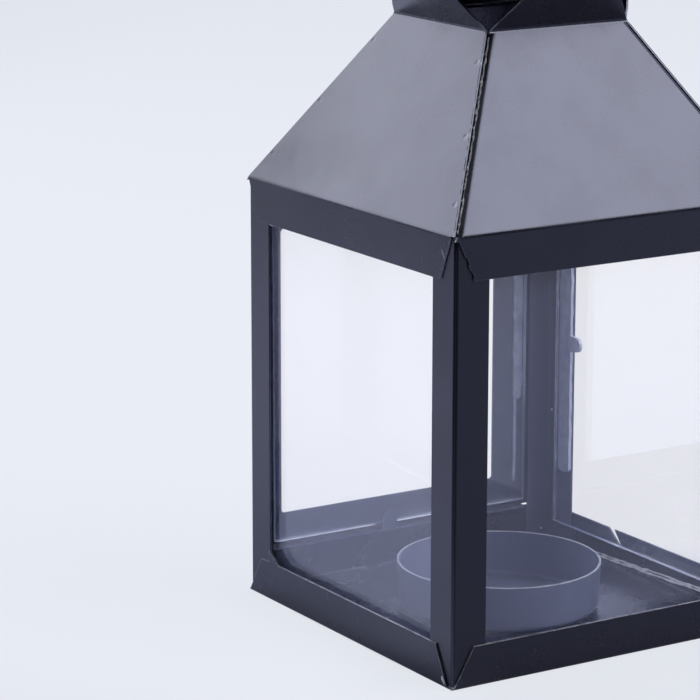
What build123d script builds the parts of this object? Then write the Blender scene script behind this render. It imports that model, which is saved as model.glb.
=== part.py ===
from build123d import *
from math import acos, atan2, cos, degrees, hypot, radians, sin, tan
import os

os.makedirs("parts", exist_ok=True)

# Sheet, folds and glass, in millimetres.
sheet = 0.4
fold_radius = 0.7
pane_thickness = 2.0

# Base tray. The wall ends are cut on a slant, further back at the right end of each wall.
base_width = 80.0
tray_height = 8.6
wall_left_cut_foot = 0.6
wall_left_cut_rim = 5.4
wall_right_cut_foot = 1.8
wall_right_cut_rim = 6.0
ear_length = 3.8
ear_height = 2.6
ear_from_post = 0.2
slit_from_middle = 12.4
slit_rim_width = 2.2
slit_foot_width = 0.8
slit_depth = 3.0
slit_lean = 2.5

# Corner posts, folded angles that stand inside the tray walls and the roof skirt.
# The back post is folded off its middle, and the left post has a narrow jamb for the door.
post_flange = 8.0
jamb_flange = 3.5
hinge_flange = 6.1
wide_flange = 11.0
post_corner_radius = 0.8
post_top_gap = 0.05

# Fixed panes, bonded behind the post flanges.
bead_depth = 0.8
pane_lap = 1.6
pane_low = 6.0
pane_above_eaves = 2.6
bead_inset = 0.3
bead_above_tray = 0.8
bead_below_eaves = 0.8
wide_bead_low = 18.0
bead_drop_width = 3.6
bead_drop_reach = 2.3
bead_drop_height = 48.4

# Candle cup, a little off the middle of the tray.
cup_x = 0.4
cup_y = 1.65
cup_rim_radius = 21.3
cup_foot_radius = 20.8
cup_height = 10.3
cup_corner_radius = 1.6

# Roof, four folded panels: skirt, slope, flared tab and tab lip. The front-right and back-left
# panels have a lap strip along both edges, which lies under the other two panels.
eaves_height = 83.4
skirt_height = 9.1
roof_rise = 35.9
neck_half = 17.6
skirt_left_cut_low = 4.6
skirt_left_cut_high = 0.8
skirt_right_cut_low = 5.5
skirt_right_cut_high = 1.7
lapped_cut_high = 1.0
lapped_cut_drop = 0.9
crease_radius = 1.8
tab_rise = 13.0
tab_flare = 33.0
tab_taper = 33.5
tab_lip = 4.4
tab_relief = 0.5
seam_short = 0.7
lap_gap = 0.1
lap_width = 4.0
lap_end_gap = 0.3
ridge_bend_radius = 2.0
weld_places = (0.15, 0.476, 0.84)
weld_from_ridge = 2.0
weld_radius = 2.5
weld_depth = 0.09
nick_length = 1.7
nick_width = 0.5
nick_from_cut = 0.05
nick_places = (0.4,)
lapped_nick_places = (0.15, 0.45)

# Cap, carried on the tab lips, with an eye riveted through its flat top.
cap_skirt_below_lip_foot = 0.4
cap_lip_gap = 0.6
cap_pitch = 35.0
cap_top_half = 4.0
eye_wire_radius = 1.1
eye_hole_radius = 2.6
eye_collar_radius = 2.6
eye_collar_height = 0.6
eye_sink = 0.3
rivet_head_radius = 2.4
rivet_head_height = 0.7
shank_clearance = 0.05

# Hanging ring, lying on the cap's right slope.
ring_radius = 11.0
ring_wire_radius = 1.0
ring_decline = 36.4
ring_joint_gap = 0.25

# Door on the back-left side, overlapping the left post and closing beside the back post.
door_gap = 0.2
door_clearance = 0.4
door_edge_lap = 0.2
door_from_corner = 1.4
left_stile = 7.6
right_stile = 10.4
bottom_rail = 7.5
top_rail = 2.9
opening_corner_radius = 0.8
door_bead_depth = 0.4
door_glass_play = 0.1
door_glass_foot_gap = 1.4
door_glass_head_gap = 0.3
door_glass_left_cover = 2.5
door_glass_edge_gap = 2.5
holding_tab_width = 3.7
holding_tab_height = 4.7
holding_tab_from_middle = -3.9
left_bead_width = 1.7
right_bead_width = 3.0
door_bead_end_gap = 3.0

# Door hinges, two alike, each with three knuckles, and the knob.
hinge_from_end = 13.0
knuckle_length = 3.9
knuckle_gap = 0.15
knuckle_radius = 1.3
knuckle_lift = 0.2
pin_radius = 0.7
pin_clearance = 0.05
pin_head_radius = 1.1
pin_head_height = 0.5
leaf_thickness = 0.6
leaf_width = 4.2
leaf_clearance = 0.2
hinge_from_flange = 0.1
knob_from_opening = 3.5
knob_reach = 4.0
knob_head_radius = 1.5
knob_head_depth = 2.0
knob_neck_radius = 0.9
knob_foot_radius = 1.4
knob_foot_depth = 0.5
knob_round = 0.7

# Positions that follow from the sizes above.
base_half = base_width / 2
post_face = base_half - sheet
post_back = post_face - sheet
post_foot = fold_radius
crease_height = eaves_height + skirt_height
neck_height = crease_height + roof_rise
flange_edge = post_face - post_flange
hinge_flange_edge = post_face - hinge_flange
wide_flange_edge = post_face - wide_flange
pane_front = post_back - bead_depth
pane_back = pane_front - pane_thickness
pane_half = flange_edge + pane_lap
pane_high = eaves_height + pane_above_eaves
bead_low = tray_height + bead_above_tray
bead_high = eaves_height - bead_below_eaves
fold_inside = fold_radius - sheet

slope_run = base_half - neck_half
slope_length = hypot(slope_run, roof_rise)
slope_out = roof_rise / slope_length
slope_up = slope_run / slope_length
crease_tangent = crease_radius * tan(atan2(slope_run, roof_rise) / 2)
post_top = crease_height - crease_tangent - post_top_gap
tab_foot_height = neck_height + tab_rise
tab_reach = neck_half + tab_rise * tan(radians(tab_flare))
tab_top_height = tab_foot_height + tab_lip
tab_foot_half = neck_half - tab_relief
tab_tip_half = tab_foot_half - tab_rise / cos(radians(tab_flare)) * tan(radians(tab_taper))
lap_depth = sheet + lap_gap
lap_top = slope_length - lap_end_gap
ridge_length = hypot(slope_length, slope_run)
ridge_stretch = ridge_length / slope_length
ridge_angle = acos(-slope_up * slope_up)
bend_tangent = ridge_bend_radius / tan(ridge_angle / 2)
bend_inside = ridge_bend_radius - sheet
inside_tangent = bend_inside / tan(ridge_angle / 2)

cap_half = tab_reach + sheet
cap_low = tab_foot_height + cap_skirt_below_lip_foot
cap_crease = tab_top_height + cap_lip_gap
cap_rise = (cap_half - cap_top_half) * tan(radians(cap_pitch))
cap_top = cap_crease + cap_rise
cap_slant_drop = sheet / cos(radians(cap_pitch))
cap_inner_crease = cap_crease + sheet * tan(radians(cap_pitch)) - cap_slant_drop
cap_inner_top = cap_top - sheet
cap_inner_top_half = cap_half - (cap_inner_top - cap_crease + cap_slant_drop) / tan(radians(cap_pitch))
eye_radius = eye_hole_radius + eye_wire_radius
eye_height = cap_top + eye_collar_height - eye_sink + eye_radius + eye_wire_radius

door_back = post_face + door_gap
door_face = door_back + sheet
door_left = door_from_corner - base_half
door_right = hinge_flange_edge + door_edge_lap
door_low = tray_height + door_clearance
door_high = eaves_height - door_clearance
opening_left = door_left + left_stile
opening_right = door_right - right_stile
opening_low = door_low + bottom_rail
opening_high = door_high - top_rail
door_glass_front = door_back - door_bead_depth
door_glass_back = door_glass_front - pane_thickness
door_glass_left = opening_left - door_glass_left_cover
door_glass_right = door_right - door_glass_edge_gap
door_glass_low = door_low + sheet + door_glass_foot_gap
door_glass_high = door_high - sheet - door_glass_head_gap
door_lip_edge = door_glass_back - door_glass_play - sheet

hinge_x = hinge_flange_edge - hinge_from_flange
hinge_y = door_face + knuckle_lift + knuckle_radius
hinge_length = 3 * knuckle_length + 2 * knuckle_gap
hinge_heights = (door_low + hinge_from_end, door_high - hinge_from_end)
knuckle_pitch = knuckle_length + knuckle_gap
leaf_start = knuckle_radius + leaf_clearance
knob_x = opening_left - knob_from_opening
knob_height = (door_low + door_high) / 2

# The footprint runs from the front-right wall to the knob's tip: its middle is the origin.
to_footprint = Location((0, (base_half - door_face - knob_reach) / 2, 0))


def hand_over(piece, node):
    placed = piece.part.moved(to_footprint)
    placed.label = node
    export_step(placed, f"parts/{node}.step")


# Base tray: floor and walls with rounded folds, open at the corners.
with BuildPart() as base_tray:
    with BuildSketch():
        Rectangle(base_width, base_width)
    extrude(amount=tray_height)
    fillet(base_tray.faces().sort_by(Axis.Z)[0].edges(), radius=fold_radius)
    with BuildSketch(Plane.XY.offset(sheet)):
        Rectangle(2 * post_face, 2 * post_face)
    extrude(amount=tray_height, mode=Mode.SUBTRACT)
    floor_top = base_tray.faces().filter_by(Axis.Z).sort_by(Axis.Z)[1]
    fillet(floor_top.edges(), radius=fold_inside)
    for turn in (0, 90, 180, 270):
        wall = Plane.XZ.rotated((0, 0, turn)).offset(post_face - fold_inside)
        with BuildSketch(wall):
            with BuildLine():
                Polyline(
                    (-base_half, sheet),
                    (wall_left_cut_foot - base_half, sheet),
                    (wall_left_cut_rim - base_half, tray_height),
                    (-base_half, tray_height),
                    close=True,
                )
            make_face()
            with BuildLine():
                Polyline(
                    (base_half, sheet),
                    (base_half - wall_right_cut_foot, sheet),
                    (base_half - wall_right_cut_rim, tray_height),
                    (base_half, tray_height),
                    close=True,
                )
            make_face()
        extrude(amount=fold_radius, mode=Mode.SUBTRACT)
    # Pointed ear on the front-left rim, beside the left post.
    with BuildSketch(Plane.YZ.offset(-base_half)):
        with BuildLine():
            Polyline(
                (flange_edge - ear_from_post, tray_height),
                (flange_edge - ear_from_post, tray_height + ear_height),
                (flange_edge - ear_from_post - ear_length, tray_height),
                close=True,
            )
        make_face()
    extrude(amount=sheet)
    # Slit in the back-right rim.
    with BuildSketch(Plane.YZ.offset(post_face)):
        with BuildLine():
            Polyline(
                (slit_from_middle, tray_height),
                (slit_from_middle + slit_rim_width, tray_height),
                (slit_from_middle - slit_lean + slit_foot_width, tray_height - slit_depth),
                (slit_from_middle - slit_lean, tray_height - slit_depth),
                close=True,
            )
        make_face()
    extrude(amount=sheet, mode=Mode.SUBTRACT)
hand_over(base_tray, "base_tray")

# Corner posts.
for corner, turn, first_flange, second_flange in (
    ("front", 0, post_flange, post_flange),
    ("right", 90, post_flange, post_flange),
    ("back", 180, hinge_flange, wide_flange),
    ("left", 270, post_flange, jamb_flange),
):
    with BuildPart() as post:
        with BuildSketch(Plane.XY.offset(post_foot).rotated((0, 0, turn))):
            with BuildLine():
                FilletPolyline(
                    (first_flange - post_face, -post_face),
                    (-post_face, -post_face),
                    (-post_face, second_flange - post_face),
                    radius=post_corner_radius,
                )
                offset(amount=sheet, side=Side.RIGHT)
            make_face()
        extrude(amount=post_top - post_foot)
    hand_over(post, f"post_{corner}")

# Fixed panes and the silicone that bonds each to its two posts.
for side, turn in (("front_right", 0), ("back_right", 90), ("front_left", 270)):
    with BuildPart() as pane:
        with BuildSketch(Plane.XZ.rotated((0, 0, turn)).offset(pane_back)):
            with Locations((0, (pane_low + pane_high) / 2)):
                Rectangle(2 * pane_half, pane_high - pane_low)
        extrude(amount=pane_thickness)
    hand_over(pane, f"pane_{side}")

    right_edge, right_bead_low = flange_edge, bead_low
    if side == "back_right":
        right_edge, right_bead_low = wide_flange_edge, wide_bead_low
    with BuildPart() as bead:
        with BuildSketch(Plane.XZ.rotated((0, 0, turn)).offset(pane_front)):
            with Locations((-(pane_half + flange_edge) / 2, (bead_low + bead_high) / 2)):
                Rectangle(pane_half - flange_edge - 2 * bead_inset, bead_high - bead_low)
            with Locations(((pane_half + right_edge) / 2, (right_bead_low + bead_high) / 2)):
                Rectangle(pane_half - right_edge - 2 * bead_inset, bead_high - right_bead_low)
            if side == "back_right":
                with Locations((right_edge + bead_inset - bead_drop_reach / 2, bead_drop_height)):
                    SlotOverall(bead_drop_reach + bead_drop_width, bead_drop_width)
        extrude(amount=bead_depth)
    hand_over(bead, f"bead_{side}")

# Candle cup: pressed from sheet, with a rounded foot and a slightly wider rim.
cup_plane = Plane((cup_x, cup_y, sheet), x_dir=(1, 0, 0), z_dir=(0, -1, 0))
with BuildPart() as candle_cup:
    with BuildSketch(cup_plane):
        with BuildLine():
            FilletPolyline(
                (0, 0),
                (cup_foot_radius, 0),
                (cup_rim_radius, cup_height),
                radius=cup_corner_radius,
            )
            offset(amount=sheet, side=Side.LEFT)
        make_face()
    revolve(axis=Axis((cup_x, cup_y, sheet), (0, 0, 1)))
hand_over(candle_cup, "candle_cup")

# Roof panels: the folded profile, cut to its outline, then lap strips or spot welds on both edges.
left_slope = Plane((-base_half, 0, crease_height), x_dir=(0, -1, 0), z_dir=(-slope_out, 0, slope_up))
right_slope = Plane((base_half, 0, crease_height), x_dir=(0, 1, 0), z_dir=(slope_out, 0, slope_up))
own_slope = Plane((0, -base_half, crease_height), x_dir=(1, 0, 0), z_dir=(0, -slope_out, slope_up))
side_view = Plane((0, 0, 0), x_dir=(0, -1, 0), z_dir=(-1, 0, 0))
trim_margin = crease_radius
for lapped, sides in (
    (True, (("front_right", 0), ("back_left", 180))),
    (False, (("back_right", 90), ("front_left", 270))),
):
    if lapped:
        edge, cut_top = lap_depth, crease_height - lapped_cut_drop
        left_cut, right_cut = lapped_cut_high, lapped_cut_high
        places = lapped_nick_places
    else:
        edge, cut_top = seam_short, crease_height
        left_cut, right_cut = skirt_left_cut_high, skirt_right_cut_high
        places = nick_places
    with BuildPart() as roof_panel:
        with BuildSketch(side_view):
            with BuildLine():
                FilletPolyline(
                    (base_half, eaves_height),
                    (base_half, crease_height),
                    (neck_half, neck_height),
                    (tab_reach, tab_foot_height),
                    (tab_reach, tab_top_height),
                    radius=(crease_radius, fold_radius, fold_radius),
                )
                offset(amount=sheet, side=Side.LEFT)
            make_face()
        extrude(amount=base_width, both=True)
        with BuildSketch(Plane.XZ):
            with BuildLine():
                Polyline(
                    (skirt_left_cut_low - base_half, eaves_height),
                    (left_cut - base_half, cut_top),
                    (-base_half - trim_margin, cut_top),
                    (-neck_half - trim_margin, neck_height),
                    (-tab_foot_half, neck_height),
                    (-tab_tip_half, tab_foot_height),
                    (-tab_tip_half, tab_top_height),
                    (tab_tip_half, tab_top_height),
                    (tab_tip_half, tab_foot_height),
                    (tab_foot_half, neck_height),
                    (neck_half + trim_margin, neck_height),
                    (base_half + trim_margin, cut_top),
                    (base_half - right_cut, cut_top),
                    (base_half - skirt_right_cut_low, eaves_height),
                    close=True,
                )
            make_face()
        extrude(amount=base_width, mode=Mode.INTERSECT)
        split(bisect_by=left_slope.offset(-edge), keep=Keep.BOTTOM)
        split(bisect_by=right_slope.offset(-edge), keep=Keep.BOTTOM)
        for hand, slope in ((1, left_slope), (-1, right_slope)):
            if lapped:
                with BuildSketch(slope.offset(-lap_depth)):
                    with BuildLine():
                        Polyline(
                            (hand * (base_half - slope_up * lap_end_gap), lap_end_gap),
                            (hand * (base_half - slope_up * lap_top), lap_top),
                            (hand * (base_half - slope_up * lap_top - lap_width), lap_top),
                            (hand * (base_half - slope_up * lap_end_gap - lap_width), lap_end_gap),
                            close=True,
                        )
                    make_face()
                extrude(amount=-sheet)
                # Rounded bend from the slope into the lap strip, filled inside and cut outside.
                bend_plane = Plane(
                    own_slope.from_local_coords((hand * (lap_depth / slope_out - base_half), 0)),
                    x_dir=own_slope.x_dir * hand - own_slope.y_dir * slope_up,
                    z_dir=own_slope.x_dir * slope_up + own_slope.y_dir * hand,
                )
                corner_x = sheet / tan(ridge_angle / 2)
                with BuildSketch(bend_plane.offset(hand * lap_end_gap * ridge_stretch)):
                    with BuildLine():
                        Polyline(
                            (corner_x, sheet),
                            (bend_tangent, sheet),
                            (bend_tangent, ridge_bend_radius),
                            (
                                corner_x + inside_tangent * cos(ridge_angle),
                                sheet + inside_tangent * sin(ridge_angle),
                            ),
                            close=True,
                        )
                    make_face()
                    with Locations((bend_tangent, ridge_bend_radius)):
                        Circle(bend_inside, mode=Mode.SUBTRACT)
                extrude(amount=hand * (lap_top - lap_end_gap) * ridge_stretch)
                with BuildSketch(bend_plane):
                    with BuildLine():
                        Polyline(
                            (0, 0),
                            (bend_tangent, 0),
                            (bend_tangent, ridge_bend_radius),
                            (bend_tangent * cos(ridge_angle), bend_tangent * sin(ridge_angle)),
                            close=True,
                        )
                    make_face()
                    with Locations((bend_tangent, ridge_bend_radius)):
                        Circle(ridge_bend_radius, mode=Mode.SUBTRACT)
                extrude(amount=hand * ridge_length, mode=Mode.SUBTRACT)
            else:
                for place in weld_places:
                    slope_place = slope_length * place
                    ridge_place = base_half - slope_up * slope_place
                    with Locations(own_slope.offset(weld_radius - weld_depth)):
                        with Locations((hand * (weld_from_ridge - ridge_place), slope_place)):
                            Sphere(weld_radius, mode=Mode.SUBTRACT)
        # Narrow nicks beside the skirt's left end.
        cut_lean = degrees(atan2(skirt_left_cut_low - left_cut, cut_top - eaves_height))
        with BuildSketch(Plane.XZ.offset(base_half - sheet)):
            for place in places:
                nick_rise = skirt_height * place
                nick_x = skirt_left_cut_low - nick_rise * tan(radians(cut_lean)) + nick_from_cut - base_half
                with Locations((nick_x, eaves_height + nick_rise)):
                    SlotOverall(nick_length, nick_width, rotation=90 + cut_lean)
        extrude(amount=sheet, mode=Mode.SUBTRACT)

    for side, turn in sides:
        with BuildPart() as turned_panel:
            add(roof_panel.part, rotation=(0, 0, turn))
        hand_over(turned_panel, f"roof_panel_{side}")

# Cap: short skirt and a hollow truncated pyramid, with a hole for the eye's shank.
with BuildPart() as cap:
    with BuildSketch(Plane.XY.offset(cap_low)):
        Rectangle(2 * cap_half, 2 * cap_half)
    extrude(amount=cap_crease - cap_low)
    with BuildSketch(Plane.XY.offset(cap_crease)):
        Rectangle(2 * cap_half, 2 * cap_half)
    with BuildSketch(Plane.XY.offset(cap_top)):
        Rectangle(2 * cap_top_half, 2 * cap_top_half)
    loft()
    with BuildSketch(Plane.XY.offset(cap_low)):
        Rectangle(2 * tab_reach, 2 * tab_reach)
    extrude(amount=cap_inner_crease - cap_low, mode=Mode.SUBTRACT)
    with BuildSketch(Plane.XY.offset(cap_inner_crease)):
        Rectangle(2 * tab_reach, 2 * tab_reach)
    with BuildSketch(Plane.XY.offset(cap_inner_top)):
        Rectangle(2 * cap_inner_top_half, 2 * cap_inner_top_half)
    loft(mode=Mode.SUBTRACT)
    with BuildSketch(Plane.XY.offset(cap_inner_top)):
        Circle(eye_wire_radius + shank_clearance)
    extrude(amount=sheet, mode=Mode.SUBTRACT)
hand_over(cap, "cap")

# Eye: wire loop on a collar, its shank riveted under the cap's flat top.
with BuildPart() as cap_eye:
    with BuildSketch(Plane.XY.offset(cap_top)):
        Circle(eye_collar_radius)
    extrude(amount=eye_collar_height)
    with BuildSketch(Plane.XY.offset(cap_inner_top)):
        Circle(eye_wire_radius)
    extrude(amount=sheet)
    with BuildSketch(Plane.XY.offset(cap_inner_top - rivet_head_height)):
        Circle(rivet_head_radius)
    extrude(amount=rivet_head_height)
    with Locations((0, 0, eye_height)):
        Torus(eye_radius, eye_wire_radius, rotation=(90, 0, 0))
hand_over(cap_eye, "cap_eye")

# Hanging ring: bent wire with a butt joint at its far end.
ring_plane = Plane(
    (ring_radius * cos(radians(ring_decline)), 0, eye_height - ring_radius * sin(radians(ring_decline))),
    x_dir=(cos(radians(ring_decline)), 0, -sin(radians(ring_decline))),
    z_dir=(sin(radians(ring_decline)), 0, cos(radians(ring_decline))),
)
with BuildPart() as hanging_ring:
    with Locations(ring_plane):
        Torus(ring_radius, ring_wire_radius)
        with Locations((ring_radius, 0)):
            Box(4 * ring_wire_radius, ring_joint_gap, 4 * ring_wire_radius, mode=Mode.SUBTRACT)
hand_over(hanging_ring, "hanging_ring")

# Door frame: flat frame with a lip at its foot and head, and a tab on each that holds the glass.
with BuildPart() as door_frame:
    with BuildSketch(Plane.XZ.offset(-door_face)):
        with Locations(((door_left + door_right) / 2, (door_low + door_high) / 2)):
            Rectangle(door_right - door_left, door_high - door_low)
        with Locations(((opening_left + opening_right) / 2, (opening_low + opening_high) / 2)):
            RectangleRounded(
                opening_right - opening_left,
                opening_high - opening_low,
                opening_corner_radius,
                mode=Mode.SUBTRACT,
            )
    extrude(amount=sheet)
    for lip_foot in (door_low, door_high - sheet):
        with BuildSketch(Plane.XY.offset(lip_foot)):
            with Locations(((door_glass_left + door_glass_right) / 2, (door_lip_edge + door_back) / 2)):
                Rectangle(door_glass_right - door_glass_left, door_back - door_lip_edge)
        extrude(amount=sheet)
    with BuildSketch(Plane.XZ.offset(-door_lip_edge)):
        tab_radius = holding_tab_width / 2
        for tab_root, tab_tip in (
            (door_low, door_low + holding_tab_height - tab_radius),
            (door_high, door_high - holding_tab_height + tab_radius),
        ):
            with Locations((holding_tab_from_middle, (tab_root + tab_tip) / 2)):
                Rectangle(holding_tab_width, abs(tab_tip - tab_root))
            with Locations((holding_tab_from_middle, tab_tip)):
                Circle(tab_radius)
    extrude(amount=-sheet)
hand_over(door_frame, "door_frame")

# Door glass and the silicone strips that bond it to the stiles.
with BuildPart() as door_glass:
    with BuildSketch(Plane.XZ.offset(-door_glass_front)):
        with Locations(((door_glass_left + door_glass_right) / 2, (door_glass_low + door_glass_high) / 2)):
            Rectangle(door_glass_right - door_glass_left, door_glass_high - door_glass_low)
    extrude(amount=pane_thickness)
hand_over(door_glass, "door_glass")

door_bead_length = door_glass_high - door_glass_low - 2 * door_bead_end_gap
with BuildPart() as door_bead:
    with BuildSketch(Plane.XZ.offset(-door_back)):
        for strip_middle, strip_width in (
            (door_glass_left + left_bead_width / 2, left_bead_width),
            (door_glass_right - right_bead_width / 2, right_bead_width),
        ):
            with Locations((strip_middle, (door_glass_low + door_glass_high) / 2)):
                SlotOverall(door_bead_length, strip_width, rotation=90)
    extrude(amount=door_bead_depth)
hand_over(door_bead, "door_bead")

# Hinge leaves: the outer two knuckles belong to the post, the middle one to the door.
post_knuckles = (-knuckle_pitch, knuckle_pitch)
with BuildPart() as hinge_post_leaves:
    for height in hinge_heights:
        with BuildSketch(Plane.XY.offset(height - hinge_length / 2)):
            with Locations((hinge_x + leaf_start + leaf_width / 2, post_face + leaf_thickness / 2)):
                Rectangle(leaf_width, leaf_thickness)
        extrude(amount=hinge_length)
        for step in post_knuckles:
            with BuildSketch(Plane.XY.offset(height + step - knuckle_length / 2)):
                with Locations((hinge_x, hinge_y)):
                    Circle(knuckle_radius)
                with BuildLine():
                    Polyline(
                        (hinge_x + leaf_start, post_face),
                        (hinge_x + leaf_start, post_face + leaf_thickness),
                        (hinge_x + knuckle_radius, hinge_y),
                        (hinge_x, hinge_y),
                        (hinge_x + pin_radius, post_face),
                        close=True,
                    )
                make_face()
                with Locations((hinge_x, hinge_y)):
                    Circle(pin_radius + pin_clearance, mode=Mode.SUBTRACT)
            extrude(amount=knuckle_length)
hand_over(hinge_post_leaves, "hinge_post_leaves")

with BuildPart() as hinge_door_leaves:
    for height in hinge_heights:
        with BuildSketch(Plane.XY.offset(height - hinge_length / 2)):
            with Locations((hinge_x - leaf_start - leaf_width / 2, door_face + leaf_thickness / 2)):
                Rectangle(leaf_width, leaf_thickness)
        extrude(amount=hinge_length)
        with BuildSketch(Plane.XY.offset(height - knuckle_length / 2)):
            with Locations((hinge_x, hinge_y)):
                Circle(knuckle_radius)
            with BuildLine():
                Polyline(
                    (hinge_x - leaf_start, door_face),
                    (hinge_x - leaf_start, door_face + leaf_thickness),
                    (hinge_x - knuckle_radius, hinge_y),
                    (hinge_x, hinge_y),
                    (hinge_x - pin_radius, door_face),
                    close=True,
                )
            make_face()
            with Locations((hinge_x, hinge_y)):
                Circle(pin_radius + pin_clearance, mode=Mode.SUBTRACT)
        extrude(amount=knuckle_length)
hand_over(hinge_door_leaves, "hinge_door_leaves")

# Hinge pins, each hanging by its head on the upper knuckle.
with BuildPart() as hinge_pins:
    for height in hinge_heights:
        with BuildSketch(Plane.XY.offset(height - hinge_length / 2)):
            with Locations((hinge_x, hinge_y)):
                Circle(pin_radius)
        extrude(amount=hinge_length)
        with BuildSketch(Plane.XY.offset(height + hinge_length / 2)):
            with Locations((hinge_x, hinge_y)):
                Circle(pin_head_radius)
        extrude(amount=pin_head_height)
hand_over(hinge_pins, "hinge_pins")

# Door knob: turned foot, neck and rounded head, on the free stile.
knob_plane = Plane((knob_x, door_face, knob_height), x_dir=(1, 0, 0), z_dir=(0, 0, 1))
with BuildPart() as door_knob:
    with BuildSketch(knob_plane):
        with BuildLine():
            Polyline(
                (0, 0),
                (knob_foot_radius, 0),
                (knob_foot_radius, knob_foot_depth),
                (knob_neck_radius, knob_foot_depth),
                (knob_neck_radius, knob_reach - knob_head_depth),
                (knob_head_radius, knob_reach - knob_head_depth),
                (knob_head_radius, knob_reach),
                (0, knob_reach),
                close=True,
            )
        make_face()
    revolve(axis=Axis((knob_x, door_face, knob_height), (0, 1, 0)))
    fillet(door_knob.edges().filter_by(GeomType.CIRCLE).sort_by(Axis.Y)[-1], radius=knob_round)
hand_over(door_knob, "door_knob")
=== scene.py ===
import math
import random

import bmesh
import bpy
from mathutils import Matrix, Vector


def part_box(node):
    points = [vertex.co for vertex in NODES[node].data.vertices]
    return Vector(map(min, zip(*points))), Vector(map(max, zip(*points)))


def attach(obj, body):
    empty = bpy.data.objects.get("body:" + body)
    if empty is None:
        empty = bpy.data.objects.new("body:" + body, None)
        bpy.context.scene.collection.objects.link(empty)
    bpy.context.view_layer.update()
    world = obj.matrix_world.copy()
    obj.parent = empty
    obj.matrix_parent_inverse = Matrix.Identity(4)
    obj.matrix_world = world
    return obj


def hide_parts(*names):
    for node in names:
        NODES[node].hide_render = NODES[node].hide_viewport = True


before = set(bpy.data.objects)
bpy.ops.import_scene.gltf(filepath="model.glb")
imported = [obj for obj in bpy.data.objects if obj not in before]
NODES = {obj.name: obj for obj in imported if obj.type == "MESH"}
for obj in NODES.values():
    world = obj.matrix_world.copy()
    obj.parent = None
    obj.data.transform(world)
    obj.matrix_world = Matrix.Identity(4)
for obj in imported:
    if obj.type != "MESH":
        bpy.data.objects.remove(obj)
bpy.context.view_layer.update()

MM = 0.001
BODY = "lantern"
DOOR = "door"

tray_low, tray_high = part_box("base_tray")
AXIS_Y = (tray_low.y + tray_high.y) / 2
BASE_WIDTH = tray_high.x - tray_low.x


# Point given in millimetres from the foot of the lantern's own axis.
def row_point(x, y, z):
    return (x * MM, y * MM + AXIS_Y, z * MM)


def add_object(name, data):
    obj = bpy.data.objects.new(name, data)
    bpy.context.scene.collection.objects.link(obj)
    return obj


# Shader helpers. A noise is given as scale, detail and roughness, and a ramp as the ends of the range
# that it reads, followed by those of the range that it gives where that isn't 0 to 1.
def new_material(name):
    mat = bpy.data.materials.new(name)
    mat.use_nodes = True
    tree = mat.node_tree
    bsdf = tree.nodes["Principled BSDF"]
    return mat, tree, bsdf


def node(tree, kind, **values):
    made = tree.nodes.new(kind)
    for key, value in values.items():
        if key in made.inputs:
            made.inputs[key].default_value = value
        else:
            setattr(made, key, value)
    return made


# Links another node's output to the socket, or sets the socket to a plain value.
def feed(tree, socket, value):
    if isinstance(value, bpy.types.NodeSocket):
        tree.links.new(value, socket)
    else:
        socket.default_value = value


def math_node(tree, operation, first, second=None, clamp=False):
    made = node(tree, "ShaderNodeMath", operation=operation, use_clamp=clamp)
    feed(tree, made.inputs[0], first)
    if second is not None:
        feed(tree, made.inputs[1], second)
    return made.outputs[0]


def product(tree, first, *others):
    for other in others:
        first = math_node(tree, "MULTIPLY", first, other)
    return first


def vector_node(tree, operation, first, second):
    made = node(tree, "ShaderNodeVectorMath", operation=operation)
    feed(tree, made.inputs[0], first)
    feed(tree, made.inputs[1], second)
    return made


def dot(tree, first, second):
    return vector_node(tree, "DOT_PRODUCT", first, second).outputs["Value"]


def gap(tree, first, second):
    return vector_node(tree, "DISTANCE", first, second).outputs["Value"]


def split(tree, vector):
    made = node(tree, "ShaderNodeSeparateXYZ")
    tree.links.new(vector, made.inputs["Vector"])
    return made.outputs


def ramp(tree, value, low, high, low_out=0.0, high_out=1.0):
    made = node(tree, "ShaderNodeMapRange", clamp=True, interpolation_type="SMOOTHSTEP")
    tree.links.new(value, made.inputs["Value"])
    made.inputs["From Min"].default_value = low
    made.inputs["From Max"].default_value = high
    made.inputs["To Min"].default_value = low_out
    made.inputs["To Max"].default_value = high_out
    return made.outputs["Result"]


def ramp_mm(tree, value, low, high):
    return ramp(tree, value, low * MM, high * MM)


def mix_colour(tree, factor, first, second):
    made = node(tree, "ShaderNodeMix", data_type="RGBA")
    tree.links.new(factor, made.inputs[0])
    sockets = [s for s in made.inputs if s.type == "RGBA"]
    for socket, value in zip(sockets, (first, second)):
        feed(tree, socket, (*value, 1.0) if isinstance(value, tuple) else value)
    return [s for s in made.outputs if s.type == "RGBA"][0]


def mix_shader(tree, share, first, second):
    made = node(tree, "ShaderNodeMixShader")
    for socket, value in zip(made.inputs, (share, first, second)):
        tree.links.new(value, socket)
    return made.outputs["Shader"]


def noise(tree, coords, scale, detail, roughness):
    made = node(tree, "ShaderNodeTexNoise", Scale=scale, Detail=detail, Roughness=roughness)
    tree.links.new(coords, made.inputs["Vector"])
    return made.outputs["Fac"]


# Distance from the nearest of many scattered points.
def cells(tree, coords, scale):
    made = node(tree, "ShaderNodeTexVoronoi", Scale=scale, feature="F1", Randomness=1.0)
    tree.links.new(coords, made.inputs["Vector"])
    return made.outputs["Distance"]


def bump(tree, height, strength, depth, under=None):
    made = node(tree, "ShaderNodeBump", Strength=strength, Distance=depth * MM)
    tree.links.new(height, made.inputs["Height"])
    if under is not None:
        tree.links.new(under, made.inputs["Normal"])
    return made.outputs["Normal"]


def texture_coords(tree, kind):
    return node(tree, "ShaderNodeTexCoord").outputs[kind]


# Share of a ragged mark along the line from start to end, in millimetres from the lantern's axis.
RAGGED_NOISE = (700.0, 3.0, 0.7)
RAGGED_RANGE = (0.2, 0.8)
RAGGED_SHARE = 0.5


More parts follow.
